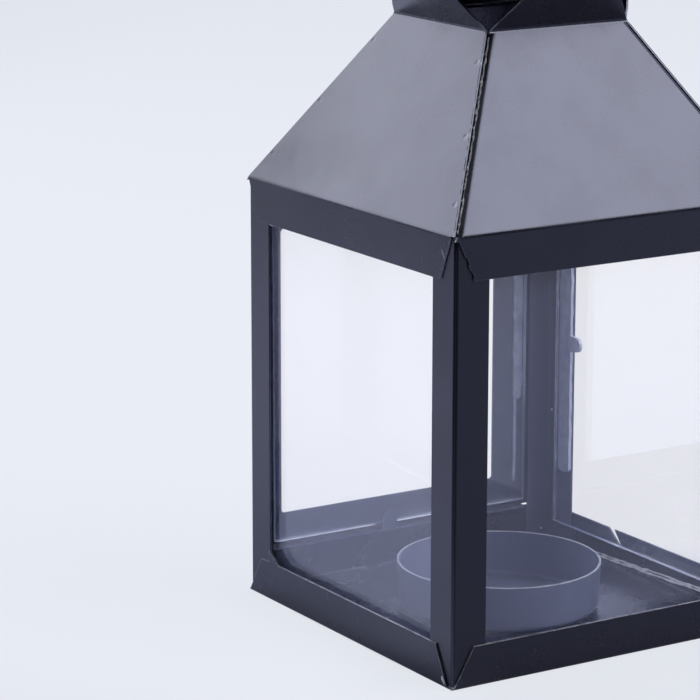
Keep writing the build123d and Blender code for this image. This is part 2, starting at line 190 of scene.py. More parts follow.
def streak(tree, coords, start, end, radius):
    along = (Vector(end) - Vector(start)) * MM
    from_start = vector_node(tree, "SUBTRACT", coords, row_point(*start)).outputs["Vector"]
    projected = dot(tree, from_start, along / along.length_squared)
    share = math_node(tree, "ADD", projected, 0.0, clamp=True)
    nearest = node(tree, "ShaderNodeVectorMath", operation="SCALE")
    nearest.inputs[0].default_value = along
    tree.links.new(share, nearest.inputs["Scale"])
    apart = gap(tree, from_start, nearest.outputs["Vector"])
    waver = RAGGED_SHARE * radius * MM
    ragged = ramp(tree, noise(tree, coords, *RAGGED_NOISE), *RAGGED_RANGE, -waver, waver)
    return ramp(tree, math_node(tree, "ADD", apart, ragged), radius * MM, waver)


# Satin black paint on folded sheet. Depths, heights and half widths are in millimetres.
PAINT_IOR = 1.65
PAINT_SHINE = (0.70, 0.73, 1.0, 1.0)
BLACK_LOW = (0.0018, 0.0018, 0.0026)
BLACK_HIGH = (0.0036, 0.0036, 0.0052)
# Grey of the film inside the lantern: partly dust, partly painted haze for the light that the glass
# reflects.
HAZE_FILM_LOW = (0.040, 0.045, 0.080)
HAZE_FILM_HIGH = (0.056, 0.062, 0.106)
WORN_METAL = (0.55, 0.55, 0.60)
BLOTCH_NOISE = (70.0, 3.0, 0.55)
BLOTCH_RANGE = (0.3, 0.7)
BLOTCH_SMOOTHER = 0.035
BLOTCH_ROUGHER = 0.045
GRAIN_NOISE = (1500.0, 2.0, 0.6)
GRAIN_RANGE = (0.2, 0.8)
GRAIN_ROUGH = 0.012
DENT_NOISE = (28.0, 2.0, 0.5)
DENT_DEPTH = 0.9
PEEL_NOISE = (900.0, 2.0, 0.5)
PEEL_STRENGTH = 0.04
PEEL_DEPTH = 0.03
EDGE_SAMPLES = 6
EDGE_RANGE = (0.97, 0.86)
CHIP_NOISE = (300.0, 4.0, 0.7)
CHIP_RANGE = (0.30, 0.62)
DUST = (0.36, 0.37, 0.40)
DUST_SCALE = 330.0
DUST_RANGE = (0.075, 0.03)
DUST_SHARE = 0.2
DUSTY_NOISE = (160.0, 1.0, 0.5)
DUSTY_RANGE = (0.60, 0.66)
INSIDE_HALF = (39.45, 39.35)
INSIDE_TOP = (90.5, 89.5)
UPRIGHT_RANGE = (0.8, 0.5)
# Cut ends that face one way: bare metal, lightened further as painted light where no lamp reaches
# them.
CUT_END_RANGE = (0.5, 0.8)
CUT_END_TOP = (92.3, 91.6)


# Share of wear on sharp edges, broken up by the paint that still holds. On the tray and the cup it is
# also a painted highlight along their rims.
def worn_edges_and_highlights(tree, coords, reach, chips):
    bevel = node(tree, "ShaderNodeBevel", Radius=reach * MM, samples=EDGE_SAMPLES)
    geometry = node(tree, "ShaderNodeNewGeometry")
    turned = dot(tree, bevel.outputs["Normal"], geometry.outputs["Normal"])
    chipping = ramp(tree, noise(tree, coords, *CHIP_NOISE), *CHIP_RANGE, chips, 1.0)
    return product(tree, ramp(tree, turned, *EDGE_RANGE), chipping)


# Share of dust, in small specks that gather in a few places.
def dust_specks(tree, coords):
    speck = ramp(tree, cells(tree, coords, DUST_SCALE), *DUST_RANGE)
    few = ramp(tree, noise(tree, coords, *DUSTY_NOISE), *DUSTY_RANGE)
    return product(tree, speck, few, DUST_SHARE)


# Share of the grey film on the faces inside the lantern, partly dust and partly painted haze that
# stands in for the light the glass reflects. Level faces have only a part of it.
def inside_film_and_painted_haze(tree, place, normal, level):
    from_axis = math_node(tree, "ABSOLUTE", math_node(tree, "SUBTRACT", place["Y"], AXIS_Y))
    widest = math_node(tree, "MAXIMUM", math_node(tree, "ABSOLUTE", place["X"]), from_axis)
    within = ramp_mm(tree, widest, *INSIDE_HALF)
    below = ramp_mm(tree, place["Z"], *INSIDE_TOP)
    tilt = math_node(tree, "ABSOLUTE", split(tree, normal)["Z"])
    return product(tree, within, below, ramp(tree, tilt, *UPRIGHT_RANGE, level, 1.0))


def tinted(colour, tone):
    return tuple(part * tone for part in colour)


# Wear: edge is its strength, reach its width, chips its least share and metal its colour. On the tray
# and cup it is partly a painted rim highlight.
# Film inside, partly dust and partly painted haze: the film setting gives its strength, tone its
# brightness and level its share on level faces.
# Each of marks is a streak and its shade. The cut-end setting is the facing of cut ends and their
# shade: bare metal, lightened as painted light where the ends lie in shade.
# dull is the middle of a duller patch, its radius and how much rougher it is there.
def paint_material(name, edge, dent, rough, marks=(), lit_cut_ends=None, haze_film=1.0, tone=1.0, gloss=0.5,
                   metal=WORN_METAL, dull=None, reach=0.22, chips=0.2, level=0.15):
    mat, tree, bsdf = new_material(name)
    coords = texture_coords(tree, "Object")
    normal = texture_coords(tree, "Normal")
    place = split(tree, coords)
    blotch = noise(tree, coords, *BLOTCH_NOISE)
    bsdf.inputs["IOR"].default_value = PAINT_IOR
    bsdf.inputs["Specular Tint"].default_value = PAINT_SHINE
    bsdf.inputs["Specular IOR Level"].default_value = gloss

    black = mix_colour(tree, blotch, BLACK_LOW, BLACK_HIGH)
    film_and_haze_grey = mix_colour(tree, blotch, tinted(HAZE_FILM_LOW, tone), tinted(HAZE_FILM_HIGH, tone))
    filmed_and_hazed = product(tree, inside_film_and_painted_haze(tree, place, normal, level), haze_film)
    dusty_and_hazed = mix_colour(tree, dust_specks(tree, coords), mix_colour(tree, filmed_and_hazed, black, film_and_haze_grey), DUST)
    wear_and_highlight = product(tree, worn_edges_and_highlights(tree, coords, reach, chips), edge)
    colour = mix_colour(tree, wear_and_highlight, dusty_and_hazed, metal)
    for start, end, radius, shade in marks:
        colour = mix_colour(tree, streak(tree, coords, start, end, radius), colour, shade)
    # Cut ends get a lighter shade: partly bare metal, partly painted light for ends that lie in shade.
    if lit_cut_ends is not None:
        facing, shade = lit_cut_ends
        lit_end_faces = ramp(tree, dot(tree, normal, facing), *CUT_END_RANGE)
        lit_end_height = ramp_mm(tree, place["Z"], *CUT_END_TOP)
        colour = mix_colour(tree, product(tree, lit_end_faces, lit_end_height), colour, shade)
    tree.links.new(colour, bsdf.inputs["Base Color"])

    wide = ramp(tree, blotch, *BLOTCH_RANGE, rough - BLOTCH_SMOOTHER, rough + BLOTCH_ROUGHER)
    fine = ramp(tree, noise(tree, coords, *GRAIN_NOISE), *GRAIN_RANGE, -GRAIN_ROUGH, GRAIN_ROUGH)
    uneven = math_node(tree, "ADD", wide, fine)
    if dull is not None:
        middle, radius, rougher = dull
        away = gap(tree, coords, row_point(*middle))
        uneven = math_node(tree, "ADD", uneven, ramp(tree, away, radius * MM, 0.0, 0.0, rougher))
    tree.links.new(uneven, bsdf.inputs["Roughness"])

    dents = bump(tree, noise(tree, coords, *DENT_NOISE), dent, DENT_DEPTH)
    peel = bump(tree, noise(tree, coords, *PEEL_NOISE), PEEL_STRENGTH, PEEL_DEPTH, under=dents)
    tree.links.new(peel, bsdf.inputs["Normal"])
    return mat


# Clear float glass. Its ground edges, the faces across the pane, are frosted.
GLASS_COLOUR = (0.992, 0.993, 1.0, 1.0)
GLASS_IOR = 1.5
GLASS_SHADOW = (0.93, 0.95, 0.96, 1.0)
HAZE_ROUGHNESS = 0.5
HAZE_TINT = (0.52, 0.59, 1.0, 1.0)
GROUND_RANGE = (0.8, 0.5)
GROUND_ROUGHNESS = 0.25
SMEAR_NOISE = (45.0, 4.0, 0.6)
SMEAR_RANGE = (0.52, 0.75, 0.0, 0.018)


def glass_material(name, across, haze):
    mat, tree, bsdf = new_material(name)
    bsdf.inputs["Base Color"].default_value = GLASS_COLOUR
    bsdf.inputs["Transmission Weight"].default_value = 1.0
    bsdf.inputs["IOR"].default_value = GLASS_IOR
    bsdf.inputs["Sheen Weight"].default_value = haze
    bsdf.inputs["Sheen Roughness"].default_value = HAZE_ROUGHNESS
    bsdf.inputs["Sheen Tint"].default_value = HAZE_TINT
    facing = math_node(tree, "ABSOLUTE", dot(tree, texture_coords(tree, "Normal"), across))
    ground = product(tree, ramp(tree, facing, *GROUND_RANGE), GROUND_ROUGHNESS)
    smear = ramp(tree, noise(tree, texture_coords(tree, "Object"), *SMEAR_NOISE), *SMEAR_RANGE)
    tree.links.new(math_node(tree, "ADD", smear, ground), bsdf.inputs["Roughness"])
    clear = node(tree, "ShaderNodeBsdfTransparent", Color=GLASS_SHADOW)
    shadow = node(tree, "ShaderNodeLightPath").outputs["Is Shadow Ray"]
    mixed = mix_shader(tree, shadow, bsdf.outputs["BSDF"], clear.outputs["BSDF"])
    tree.links.new(mixed, tree.nodes["Material Output"].inputs["Surface"])
    return mat


# Clear silicone with bubbles and a skin that catches the light.
SILICONE_IOR = 1.41
LUMP_NOISE = (420.0, 3.0, 0.6)
CLOUDY_RANGE = (0.35, 0.7)
SKIN_ROUGHNESS = (0.3, 0.7, 0.06, 0.20)
SKIN_STRENGTH = 0.5
SKIN_DEPTH = 0.15
BUBBLE_SCALE = 900.0
BUBBLE_RANGE = (0.0, 0.3)


def silicone_material(name, dull, bright, clear):
    mat, tree, bsdf = new_material(name)
    coords = texture_coords(tree, "Object")
    lump = noise(tree, coords, *LUMP_NOISE)
    cloudy = ramp(tree, lump, *CLOUDY_RANGE)
    tree.links.new(mix_colour(tree, cloudy, dull, bright), bsdf.inputs["Base Color"])
    bsdf.inputs["IOR"].default_value = SILICONE_IOR
    bsdf.inputs["Transmission Weight"].default_value = clear
    tree.links.new(ramp(tree, lump, *SKIN_ROUGHNESS), bsdf.inputs["Roughness"])
    bubble = ramp(tree, cells(tree, coords, BUBBLE_SCALE), *BUBBLE_RANGE)
    height = math_node(tree, "ADD", lump, bubble)
    tree.links.new(bump(tree, height, SKIN_STRENGTH, SKIN_DEPTH), bsdf.inputs["Normal"])
    return mat


# Torn and half-painted sheet along the roof's seams. On the front seam the light crest of the lip also
# stands in for the bend's highlight, a painted highlight.
FLAKE_NOISE = (2300.0, 3.0, 0.65)
FLAKE_RANGE = (0.30, 0.52)
FLAKE_ROUGHNESS = (0.3, 0.7, 0.30, 0.55)
FLAKE_STRENGTH = 0.6
FLAKE_DEPTH = 0.12
PATCH_NOISE = (700.0, 2.0, 0.5)
PATCH_RANGE = (0.35, 0.6, 0.6, 1.0)


def torn_material(name, dark, light):
    mat, tree, bsdf = new_material(name)
    coords = texture_coords(tree, "Object")
    flake = noise(tree, coords, *FLAKE_NOISE)
    patch = ramp(tree, noise(tree, coords, *PATCH_NOISE), *PATCH_RANGE)
    bare_and_highlight = product(tree, ramp(tree, flake, *FLAKE_RANGE), patch)
    tree.links.new(mix_colour(tree, bare_and_highlight, dark, light), bsdf.inputs["Base Color"])
    tree.links.new(ramp(tree, flake, *FLAKE_ROUGHNESS), bsdf.inputs["Roughness"])
    tree.links.new(bump(tree, flake, FLAKE_STRENGTH, FLAKE_DEPTH), bsdf.inputs["Normal"])
    return mat


# Drawn steel wire, for the hinge pins.
STEEL_DARK = (0.30, 0.30, 0.31)
STEEL_LIGHT = (0.50, 0.50, 0.52)
DRAWN_NOISE = (3000.0, 3.0, 0.6)
DRAWN_STRETCH = (1.0, 1.0, 0.06)
DRAWN_ROUGHNESS = (0.2, 0.8, 0.26, 0.44)


def steel_material(name):
    mat, tree, bsdf = new_material(name)
    stretch = node(tree, "ShaderNodeMapping", Scale=DRAWN_STRETCH)
    tree.links.new(texture_coords(tree, "Object"), stretch.inputs["Vector"])
    drawn = noise(tree, stretch.outputs["Vector"], *DRAWN_NOISE)
    tree.links.new(mix_colour(tree, drawn, STEEL_DARK, STEEL_LIGHT), bsdf.inputs["Base Color"])
    bsdf.inputs["Metallic"].default_value = 1.0
    tree.links.new(ramp(tree, drawn, *DRAWN_ROUGHNESS), bsdf.inputs["Roughness"])
    return mat


# Marks on the paint: start and end in millimetres from the lantern's axis, radius and shade.
SKIRT_TEAR = ((-40.0, -35.2, 89.4), (-40.0, -36.3, 87.6), 0.24, (0.22, 0.22, 0.27))
WALL_CHIP = ((-40.0, -36.6, 1.9), (-40.0, -37.3, 1.1), 0.45, (0.55, 0.55, 0.60))
TAB_EDGE = ((-17.1, -17.6, 128.6), (-6.9, -26.0, 141.4), 0.34, (0.26, 0.26, 0.30))
TAB_DARK = ((-17.6, -17.1, 128.7), (-26.0, -6.9, 141.4), 0.60, (0.002, 0.002, 0.003))
# Light patches at the three spot welds: painted highlights on the weld dimples.
WELD_PAINTED_HIGHLIGHTS = (
    ((-36.7, -34.7, 97.8), (-36.4, -35.8, 98.2), 0.75, (0.10, 0.10, 0.11)),
    ((-29.4, -27.4, 109.4), (-29.2, -28.5, 109.9), 0.70, (0.10, 0.10, 0.11)),
    ((-21.2, -19.2, 122.4), (-20.9, -20.4, 123.2), 0.85, (0.12, 0.12, 0.13)),
)
# Shades of the cut ends: bare edges, made lighter as painted light because they lie in shade.
TAB_CUT_END_LIGHT = ((-1.0, 0.0, 0.0), (0.10, 0.10, 0.12))
SEAM_CUT_END_LIGHT = ((0.0, -1.0, 0.0), (0.70, 0.70, 0.86))
SLOPE_DULL = ((-38.0, 33.0, 95.0), 36.0, 0.18)
# A film setting above 0 adds the inside film, which is partly painted haze.
roof_paint = paint_material("roof_paint", edge=0.25, dent=0.30, rough=0.26, haze_film=0.0)
tab_paint = paint_material("tab_paint", edge=0.20, dent=0.30, rough=0.26, marks=(TAB_EDGE,),
                           lit_cut_ends=TAB_CUT_END_LIGHT, haze_film=0.0)
seam_paint = paint_material("seam_paint", edge=0.30, dent=0.30, rough=0.26,
                            marks=(SKIRT_TEAR, TAB_DARK, *WELD_PAINTED_HIGHLIGHTS),
                            lit_cut_ends=SEAM_CUT_END_LIGHT, haze_film=0.0, dull=SLOPE_DULL)
# The tray's and the cup's bright, wide edge wear is partly wear and partly a painted highlight along
# their rims.
tray_paint_with_rim_highlight = paint_material("tray_paint_with_rim_highlight", edge=0.70, dent=0.15, rough=0.26, marks=(WALL_CHIP,),
                            haze_film=0.9, tone=1.35, metal=(0.85, 0.85, 0.90))
cup_paint_with_rim_highlight = paint_material("cup_paint_with_rim_highlight", edge=0.95, dent=0.10, rough=0.32, tone=1.65,
                           metal=(0.95, 0.95, 1.0), reach=0.34, chips=0.7, level=0.8)
post_paint = paint_material("post_paint", edge=0.14, dent=0.12, rough=0.32, haze_film=0.8, tone=1.5)
fitting_paint = paint_material("fitting_paint", edge=0.20, dent=0.05, rough=0.26, haze_film=0.0)
# Black paint with almost no reflection, for the hollows of the seams: painted shade in the gap.
hollow_shade_paint = paint_material("hollow_shade_paint", edge=0.0, dent=0.30, rough=0.50, haze_film=0.0, gloss=0.05)

ACROSS_X = (1.0, 0.0, 0.0)
ACROSS_Y = (0.0, 1.0, 0.0)
glass_x = glass_material("glass_x", ACROSS_X, haze=0.52)
glass_y = glass_material("glass_y", ACROSS_Y, haze=0.66)

clear_silicone = silicone_material("clear_silicone", dull=(0.72, 0.74, 0.80),
                                   bright=(0.90, 0.91, 0.96), clear=0.97)
cloudy_silicone = silicone_material("cloudy_silicone", dull=(0.42, 0.45, 0.60),
                                    bright=(0.60, 0.63, 0.80), clear=0.60)
milky_silicone = silicone_material("milky_silicone", dull=(0.45, 0.48, 0.60),
                                   bright=(0.58, 0.61, 0.74), clear=0.15)
# Dark silicone for the beads of the front-left pane and the door's left edge: its dark colour stands
# in for the shade in the gap beside the left post.
smoky_shade_silicone = silicone_material("smoky_shade_silicone", dull=(0.03, 0.03, 0.05),
                                   bright=(0.08, 0.08, 0.11), clear=0.70)
white_silicone = silicone_material("white_silicone", dull=(0.82, 0.82, 0.86),
                                   bright=(0.98, 0.98, 1.0), clear=0.0)

pin_steel = steel_material("drawn_steel")
# The front seam's light metal is partly bare metal and partly a painted highlight along the bend.
seam_metal_and_highlight = torn_material("seam_metal_and_highlight", dark=(0.10, 0.10, 0.105), light=(0.85, 0.84, 0.88))
seam_dull = torn_material("seam_dull", dark=(0.01, 0.01, 0.012), light=(0.15, 0.15, 0.17))


def dress(name, mat):
    obj = NODES[name]
    if not obj.material_slots:
        obj.data.materials.append(mat)
    for slot in obj.material_slots:
        slot.link = "OBJECT"
        slot.material = mat


# The two nodes that pieces of this script replace need no material.
POSTS = ("post_front", "post_right", "post_back", "post_left")
LOOKS = (
    (roof_paint, ("roof_panel_back_right", "roof_panel_back_left", "cap")),
    (seam_paint, ("roof_panel_front_left",)),
    (tab_paint, ("roof_panel_front_right",)),
    (tray_paint_with_rim_highlight, ("base_tray",)),
    (cup_paint_with_rim_highlight, ("candle_cup",)),
    (post_paint, (*POSTS, "door_frame", "hinge_door_leaves", "hinge_post_leaves")),
    (fitting_paint, ("door_knob", "cap_eye", "hanging_ring")),
    (pin_steel, ("hinge_pins",)),
    (glass_x, ("pane_front_left", "pane_back_right")),
    (glass_y, ("pane_front_right", "door_glass")),
    (clear_silicone, ("bead_front_right",)),
    (smoky_shade_silicone, ("bead_front_left",)),
)
for mat, names in LOOKS:
    for name in names:
        dress(name, mat)


# Pieces of uneven shape, each a closed skin over rings of points. Where there is another material,
# the two ends take it, and so do the lengthwise bands whose numbers around the ring are in bands.
END_FACES = 2


def piece(name, rings, mat, body, other=None, bands=()):
    count = len(rings[0])
    verts = [point for ring in rings for point in ring]
    faces = [tuple(range(count)), tuple(range(len(verts) - count, len(verts)))]
    for level in range(len(rings) - 1):
        low, high = level * count, (level + 1) * count
        for place in range(count):
            after = (place + 1) % count
            faces.append((low + place, low + after, high + after, high + place))
    mesh = bpy.data.meshes.new(name)
    mesh.from_pydata(verts, [], faces)
    shape = bmesh.new()
    shape.from_mesh(mesh)
    if other is not None:
        shape.faces.ensure_lookup_table()
        for face in range(len(faces)):
            if face < END_FACES or (face - END_FACES) % count in bands:
                shape.faces[face].material_index = 1
    bmesh.ops.recalc_face_normals(shape, faces=shape.faces)
    shape.to_mesh(mesh)
    shape.free()
    obj = add_object(name, mesh)
    mesh.materials.append(mat)
    if other is not None:
        mesh.materials.append(other)
    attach(obj, body)
    return obj


# Smooth random line with a knot at every few steps.
SPARE_KNOTS = 3


def wander(rng, count, reach, every):
    knots = [rng.uniform(-reach, reach) for _ in range(count // every + SPARE_KNOTS)]
    line = []
    for step in range(count):
        place, part = divmod(step, every)
        part = part / every
        part = part * part * (3.0 - 2.0 * part)
        line.append(knots[place] * (1.0 - part) + knots[place + 1] * part)
    return line


# Upright strip of silicone with wavering edges and narrower ends. Its width lies along X or Y, from
# its first edge to its second. A drop, given as height, radius and stand-off, may swell the first.
STRIP_STEP = 0.3
STRIP_INSET = 0.03
STRIP_END = 0.8
STRIP_NARROWING = 0.35
FIRST_EDGE_KNOTS = 6
SECOND_EDGE_KNOTS = 7
NO_DROP = (0.0, 0.0, 0.0)


def silicone_strip(name, seed, along_x, depth, edges, heights, waver, mat, body, drop=NO_DROP):
    rng = random.Random(seed)
    first, second = edges
    low, high = heights
    near, far = depth[0] + STRIP_INSET, depth[1] - STRIP_INSET
    drop_height, drop_radius, drop_off = drop
    count = int((high - low) / STRIP_STEP) + 1
    first_edge = wander(rng, count, waver, FIRST_EDGE_KNOTS)
    second_edge = wander(rng, count, waver, SECOND_EDGE_KNOTS)
    rings = []
    for place in range(count):
        height = low + (high - low) * place / (count - 1)
        to_end = min(height - low, high - height)
        narrow = 0.0
        if to_end < STRIP_END:
            narrow = (second - first) * STRIP_NARROWING * (1.0 - math.sqrt(to_end / STRIP_END))
        start = first + first_edge[place] + narrow
        stop = second + second_edge[place] - narrow
        if abs(height - drop_height) < drop_radius:
            start = first - drop_off - math.sqrt(drop_radius ** 2 - (height - drop_height) ** 2)
        corners = ((start, near), (stop, near), (stop, far), (start, far))
        if along_x:
            rings.append([row_point(run, deep, height) for run, deep in corners])
        else:
            rings.append([row_point(deep, run, height) for run, deep in corners])
    return piece(name, rings, mat, body)


PANE_DEPTH = (38.4, 39.2)
PANE_STRIP_TOP = 82.4
DOOR_DEPTH = (39.4, 39.8)
DOOR_STRIP_TOP = 79.2
WIDE_DROP = (48.4, 1.8, 1.7)
wide = silicone_strip("silicone_back_wide", seed=3, along_x=False, depth=PANE_DEPTH,
                      edges=(28.75, 32.9), heights=(18.0, PANE_STRIP_TOP), waver=0.12,
                      mat=milky_silicone, body=BODY, drop=WIDE_DROP)
thin = silicone_strip("silicone_back_thin", seed=4, along_x=False, depth=PANE_DEPTH,
                      edges=(-32.9, -31.9), heights=(9.5, PANE_STRIP_TOP), waver=0.10,
                      mat=clear_silicone, body=BODY)
hinge_side = silicone_strip("silicone_door_right", seed=5, along_x=True, depth=DOOR_DEPTH,
                            edges=(28.6, 31.0), heights=(34.5, DOOR_STRIP_TOP), waver=0.16,
                            mat=cloudy_silicone, body=DOOR)
hinge_run = silicone_strip("silicone_door_run", seed=7, along_x=True, depth=DOOR_DEPTH,
                           edges=(28.9, 29.5), heights=(15.0, 35.2), waver=0.12,
                           mat=cloudy_silicone, body=DOOR)
free_side = silicone_strip("silicone_door_left", seed=6, along_x=True, depth=DOOR_DEPTH,
                           edges=(-33.4, -31.9), heights=(13.9, DOOR_STRIP_TOP), waver=0.15,
                           mat=smoky_shade_silicone, body=DOOR)
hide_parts("bead_back_right")
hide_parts("bead_back_right")
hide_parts("door_bead")
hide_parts("door_bead")
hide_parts("door_bead")


# Runs of white silicone have a six-sided section and narrow towards both ends.
SECTION_SIDES = 6
SECTION_ANGLES = [math.radians(360.0 / SECTION_SIDES * turn) for turn in range(SECTION_SIDES)]
RUN_END_WIDTH = 0.3


def taper(share, steep):
    return min(1.0, RUN_END_WIDTH + steep * min(share, 1.0 - share))


# Glue along the foot of the back-right wall, in two uneven runs that rise towards the right corner.
# Its white is partly glue and partly a painted highlight of the wall's inner fold.
GLUE_RINGS = 150
GLUE_START = 22.0
GLUE_LENGTH = 58.0
GLUE_WALL = 39.56
GLUE_FLATTENING = 0.5
GLUE_HEIGHT = 0.62
GLUE_HEIGHT_AT = 18.5
GLUE_SLOPE = 0.0440
GLUE_WAVER = 0.10
GLUE_SWELL_KNOTS = 4
GLUE_RISE_KNOTS = 6
GLUE_LEAST_WIDTH = 0.12
GLUE_TAPER = 12.0


def glue_and_highlight_run(name, seed, lift, radius):
    rng = random.Random(seed)
    swell = wander(rng, GLUE_RINGS, GLUE_WAVER, GLUE_SWELL_KNOTS)
    rise = wander(rng, GLUE_RINGS, GLUE_WAVER, GLUE_RISE_KNOTS)
    rings = []
    for place in range(GLUE_RINGS):
        share = place / (GLUE_RINGS - 1)
        along = GLUE_START - GLUE_LENGTH * share
        height = GLUE_HEIGHT + lift + GLUE_SLOPE * (GLUE_HEIGHT_AT - along) + rise[place]
        width = max(GLUE_LEAST_WIDTH, radius + swell[place]) * taper(share, GLUE_TAPER)
        ring = []
        for angle in SECTION_ANGLES:
            from_wall = GLUE_FLATTENING * width * (1.0 + math.cos(angle))
            ring.append(row_point(GLUE_WALL - from_wall, along, height + width * math.sin(angle)))
        rings.append(ring)
    piece(name, rings, white_silicone, BODY)


glue_and_highlight_run("glue_highlight_upper", seed=8, lift=0.50, radius=0.25)
glue_and_highlight_run("glue_highlight_lower", seed=9, lift=-0.05, radius=0.28)


# Thin white line of sealant along the foot of the door's glass, broken at the tab that holds it. Its
# white also stands in for the glint on the glass's bottom edge, a painted highlight.
SILL_RINGS = 60
SILL_Y = 37.36
SILL_HEIGHT = 10.72
SILL_WAVER = 0.03
SILL_KNOTS = 4
SILL_TAPER = 14.0


def glint_line(name, seed, start, end, radius):
    rng = random.Random(seed)
    swell = wander(rng, SILL_RINGS, SILL_WAVER, SILL_KNOTS)
    rings = []
    for place in range(SILL_RINGS):
        share = place / (SILL_RINGS - 1)
        along = start + (end - start) * share
        width = (radius + swell[place]) * taper(share, SILL_TAPER)
        ring = []
        for angle in SECTION_ANGLES:
            deep = SILL_Y + width * math.cos(angle)
            ring.append(row_point(along, deep, SILL_HEIGHT + width * math.sin(angle)))
        rings.append(ring)
    piece(name, rings, white_silicone, DOOR)


glint_line("sill_glint_left", seed=41, start=-33.6, end=-7.6, radius=0.15)
glint_line("sill_glint_right", seed=42, start=-2.4, end=7.5, radius=0.13)


# Crumbs of silicone stuck to the back post. A level is its height and its width, in shares of the
# crumb's radius.
CRUMB_LEVELS = ((-0.8, 0.5), (-0.2, 1.0), (0.4, 0.9), (0.9, 0.4))
CRUMB_SIDES = 7
CRUMB_LEAST = 0.75
CRUMB_MOST = 1.1


def crumb(name, seed, x, y, z, radius):
    rng = random.Random(seed)
    rings = []
    for level, width in CRUMB_LEVELS:
        ring = []
        for turn in range(CRUMB_SIDES):
            angle = 2.0 * math.pi * turn / CRUMB_SIDES
            spread = radius * width * rng.uniform(CRUMB_LEAST, CRUMB_MOST)
            across, deep = x + spread * math.cos(angle), y + spread * math.sin(angle)
            ring.append(row_point(across, deep, z + radius * level))
        rings.append(ring)
    piece(name, rings, white_silicone, BODY)


crumb("crumb_high", seed=31, x=39.05, y=37.84, z=30.9, radius=0.24)
crumb("crumb_low", seed=32, x=39.05, y=34.6, z=23.6, radius=0.18)
crumb("crumb_foot", seed=33, x=37.35, y=39.05, z=2.5, radius=0.20)


# Signs of X and Y that turn a shape at the front corner into the one at each corner.
CORNER_SIGNS = {
    "front": (1.0, 1.0),
    "left": (1.0, -1.0),
    "right": (-1.0, 1.0),
    "back": (-1.0, -1.0),
}

# Torn edge of a plain roof panel, bridged over the bend of the panel beside it. The section's points
# are millimetres across the ridge and out of the bent panel's slope, from the ridge's sharp line.
CREASE = Vector((-40.0, -40.0, 92.5))
NECK = Vector((-17.6, -17.6, 128.4))
BEND_RADIUS = 2.0
BEND_START = 2.02
SEAM_RINGS = 170
SEAM_START = 0.028
SEAM_LENGTH = 0.955
CUT_FOOT = (-0.12, -1.05)
CUT_TOP = (-0.16, -0.66)
CUT_WAVER = 0.14
CUT_KNOTS = 3
CUT_ACROSS = 0.3
CUT_OUT = 0.5
HOLLOW_START = (0.10, -0.78)
HOLLOW_END = (0.46, -0.84)
HOLLOW_WAVER = 0.14
HOLLOW_KNOTS = 2
HOLLOW_ACROSS = 0.6
LIP_REACH = 0.66
LIP_WIDENING = 0.14
LIP_WAVER = 0.08
LIP_KNOTS = 4
LIP_LIFT = 0.16
LIP_LIFT_WAVER = 0.05
LIP_LIFT_KNOTS = 2
LIP_EDGE = 0.08
UNDERSIDE = ((0.60, -1.00), (0.20, -1.15))
# Bands of the section that take the nearly unreflecting paint: painted shade in the seam's hollow.
SHADE_PAINT_BANDS = (1, 2, 4, 5)


def torn_seam(name, seed, mirror_x, mirror_y, torn, metal):
    rng = random.Random(seed)
    climb = NECK - CREASE
    out = Vector((0.0, -climb.z, climb.x)).normalized()
    across = climb.normalized().cross(out)
    if across.x < 0.0:
        across = -across
    cut = wander(rng, SEAM_RINGS, CUT_WAVER * torn, CUT_KNOTS)
    lift = wander(rng, SEAM_RINGS, LIP_LIFT_WAVER * torn, LIP_LIFT_KNOTS)
    hollow = wander(rng, SEAM_RINGS, HOLLOW_WAVER * torn, HOLLOW_KNOTS)
    lip = wander(rng, SEAM_RINGS, LIP_WAVER * torn, LIP_KNOTS)
    rings = []
    for place in range(SEAM_RINGS):
        share = SEAM_START + SEAM_LENGTH * place / (SEAM_RINGS - 1)
        base = CREASE + share * climb
        reach = LIP_REACH + LIP_WIDENING * share + lip[place]
        bend = math.sqrt(BEND_RADIUS ** 2 - (BEND_START - reach) ** 2) - BEND_RADIUS
        outline = (
            CUT_FOOT,
            (CUT_TOP[0] + CUT_ACROSS * cut[place], CUT_TOP[1] + CUT_OUT * cut[place]),
            HOLLOW_START,
            (HOLLOW_END[0] + HOLLOW_ACROSS * hollow[place], HOLLOW_END[1]),
            (reach, bend + LIP_LIFT + lift[place]),
            (reach + LIP_EDGE, bend),
            *UNDERSIDE,
        )
        ring = []
        for aside, outward in outline:
            point = base + aside * across + outward * out
            ring.append(row_point(point.x * mirror_x, point.y * mirror_y, point.z))
        rings.append(ring)
    piece(name, rings, metal, BODY, hollow_shade_paint, SHADE_PAINT_BANDS)


# Each seam's corner, its random seed, how torn it is and its metal.
SEAMS = (
    ("front", 21, 1.0, seam_metal_and_highlight),
    ("left", 22, 0.2, seam_dull),
    ("right", 23, 0.3, seam_dull),
    ("back", 24, 0.6, seam_dull),
)
for corner, seed, torn, metal in SEAMS:
    torn_seam(f"seam_{corner}", seed, *CORNER_SIGNS[corner], torn, metal)


# Solder that closes the roof's corner above each post, an angle in plan. A level is its height and
# how far it is drawn in.
FILL_OUTSIDE = -39.52
FILL_INSIDE = -39.3
FILL_END = -36.8
FILL_OUTLINE = (
    (FILL_OUTSIDE, FILL_END),
    (FILL_OUTSIDE, FILL_OUTSIDE),
    (FILL_END, FILL_OUTSIDE),
    (FILL_END, FILL_INSIDE),
    (FILL_INSIDE, FILL_INSIDE),
    (FILL_INSIDE, FILL_END),
)
FILL_LEVELS = ((91.96, 0.0), (92.2, 0.03), (92.42, 0.10))


def corner_fill(name, mirror_x, mirror_y):
    rings = []
    for height, inset in FILL_LEVELS:
        ring = []
        for x, y in FILL_OUTLINE:
            ring.append(row_point((x + inset) * mirror_x, (y + inset) * mirror_y, height))
        rings.append(ring)
    piece(name, rings, post_paint, BODY)


